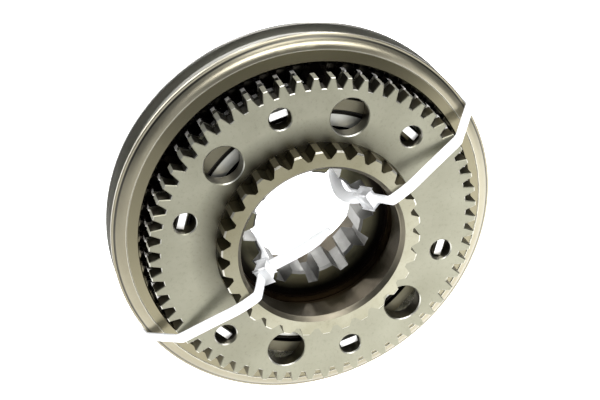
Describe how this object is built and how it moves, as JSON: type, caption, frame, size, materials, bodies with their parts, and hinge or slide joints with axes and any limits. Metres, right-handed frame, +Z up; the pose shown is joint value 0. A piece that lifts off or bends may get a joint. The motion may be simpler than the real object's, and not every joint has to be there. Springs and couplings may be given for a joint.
{
  "type": "range-change synchroniser unit",
  "caption": "Gearbox synchroniser: a splined hub, a sliding sleeve with a fork groove, and toothed clutch discs with splined drive collars on both sides.",
  "frame": {"origin": "on the axis of rotation, in the middle plane of the synchroniser hub", "axes": "+Y along the axis of rotation towards the rear, -Y towards the front collar, +Z up as the unit stands on its rim"},
  "size_m": [0.24, 0.086, 0.24],
  "materials": {
    "disc_steel": "satin phosphated gear steel",
    "collar_steel": "ground gear steel",
    "sleeve_steel": "turned gear steel, polished in the fork groove",
    "hub_steel": "satin gear steel",
    "ring_steel": "bright machined steel",
    "spring_steel": "dark spring steel",
    "friction_lining": "sintered carbon friction layer",
    "tie_nylon": "white nylon of the two shipping ties",
    "thrust_bronze": "plain bearing bronze"
  },
  "bodies": {
    "hub": {"synchro_hub": "hub_steel", "front_thrust_washer": "thrust_bronze", "rear_thrust_washer": "thrust_bronze", "detent_spring_1": "spring_steel", "detent_spring_2": "spring_steel", "detent_spring_3": "spring_steel", "detent_spring_4": "spring_steel", "detent_spring_5": "spring_steel", "detent_spring_6": "spring_steel"},
    "sleeve": {"sliding_sleeve": "sleeve_steel"},
    "front_gear": {"front_clutch_disc": "disc_steel", "front_drive_collar": "collar_steel", "front_retaining_ring": "spring_steel", "front_intermediate_ring": "ring_steel"},
    "front_ring": {"front_synchro_ring": "ring_steel", "front_outer_friction_lining": "friction_lining", "front_inner_cone_ring": "ring_steel", "front_inner_friction_lining": "friction_lining"},
    "rear_gear": {"rear_clutch_disc": "disc_steel", "rear_drive_collar": "collar_steel", "rear_retaining_ring": "spring_steel", "rear_intermediate_ring": "ring_steel"},
    "rear_ring": {"rear_synchro_ring": "ring_steel", "rear_outer_friction_lining": "friction_lining", "rear_inner_cone_ring": "ring_steel", "rear_inner_friction_lining": "friction_lining"},
    "detent_1": {"detent_plunger_1": "ring_steel"},
    "detent_2": {"detent_plunger_2": "ring_steel"},
    "detent_3": {"detent_plunger_3": "ring_steel"},
    "detent_4": {"detent_plunger_4": "ring_steel"},
    "detent_5": {"detent_plunger_5": "ring_steel"},
    "detent_6": {"detent_plunger_6": "ring_steel"}
  },
  "joints": [
    {"name": "sleeve_shift", "type": "slide", "parent": "hub", "child": "sleeve", "axis": [0, -1, 0], "range_m": [-0.0135, 0.0135]},
    {"name": "front_gear_spin", "type": "hinge", "parent": "hub", "child": "front_gear", "pos_m": [0, 0, 0], "axis": [0, -1, 0], "range_deg": [-360, 360]},
    {"name": "front_ring_index", "type": "hinge", "parent": "hub", "child": "front_ring", "pos_m": [0, 0, 0], "axis": [0, -1, 0], "range_deg": [-1.4, 0]},
    {"name": "rear_gear_spin", "type": "hinge", "parent": "hub", "child": "rear_gear", "pos_m": [0, 0, 0], "axis": [0, -1, 0], "range_deg": [-360, 360]},
    {"name": "rear_ring_index", "type": "hinge", "parent": "hub", "child": "rear_ring", "pos_m": [0, 0, 0], "axis": [0, -1, 0], "range_deg": [0, 1.4]},
    {"name": "detent_1_press", "type": "slide", "parent": "hub", "child": "detent_1", "axis": [-0.0389, 0, -0.9992], "range_m": [0, 0.0018], "stiffness_N_per_m": 2000, "springref_m": -0.004, "deforming": ["detent_spring_1"]},
    {"name": "detent_2_press", "type": "slide", "parent": "hub", "child": "detent_2", "axis": [0.8459, 0, -0.5333], "range_m": [0, 0.0018], "stiffness_N_per_m": 2000, "springref_m": -0.004, "deforming": ["detent_spring_2"]},
    {"name": "detent_3_press", "type": "slide", "parent": "hub", "child": "detent_3", "axis": [0.8848, 0, 0.4659], "range_m": [0, 0.0018], "stiffness_N_per_m": 2000, "springref_m": -0.004, "deforming": ["detent_spring_3"]},
    {"name": "detent_4_press", "type": "slide", "parent": "hub", "child": "detent_4", "axis": [0.0389, 0, 0.9992], "range_m": [0, 0.0018], "stiffness_N_per_m": 2000, "springref_m": -0.004, "deforming": ["detent_spring_4"]},
    {"name": "detent_5_press", "type": "slide", "parent": "hub", "child": "detent_5", "axis": [-0.8459, 0, 0.5333], "range_m": [0, 0.0018], "stiffness_N_per_m": 2000, "springref_m": -0.004, "deforming": ["detent_spring_5"]},
    {"name": "detent_6_press", "type": "slide", "parent": "hub", "child": "detent_6", "axis": [-0.8848, 0, -0.4659], "range_m": [0, 0.0018], "stiffness_N_per_m": 2000, "springref_m": -0.004, "deforming": ["detent_spring_6"]}
  ],
  "couplings": [
    {"joint": "detent_2_press", "follows": "detent_1_press", "ratio": 1},
    {"joint": "detent_3_press", "follows": "detent_1_press", "ratio": 1},
    {"joint": "detent_4_press", "follows": "detent_1_press", "ratio": 1},
    {"joint": "detent_5_press", "follows": "detent_1_press", "ratio": 1},
    {"joint": "detent_6_press", "follows": "detent_1_press", "ratio": 1}
  ]
}
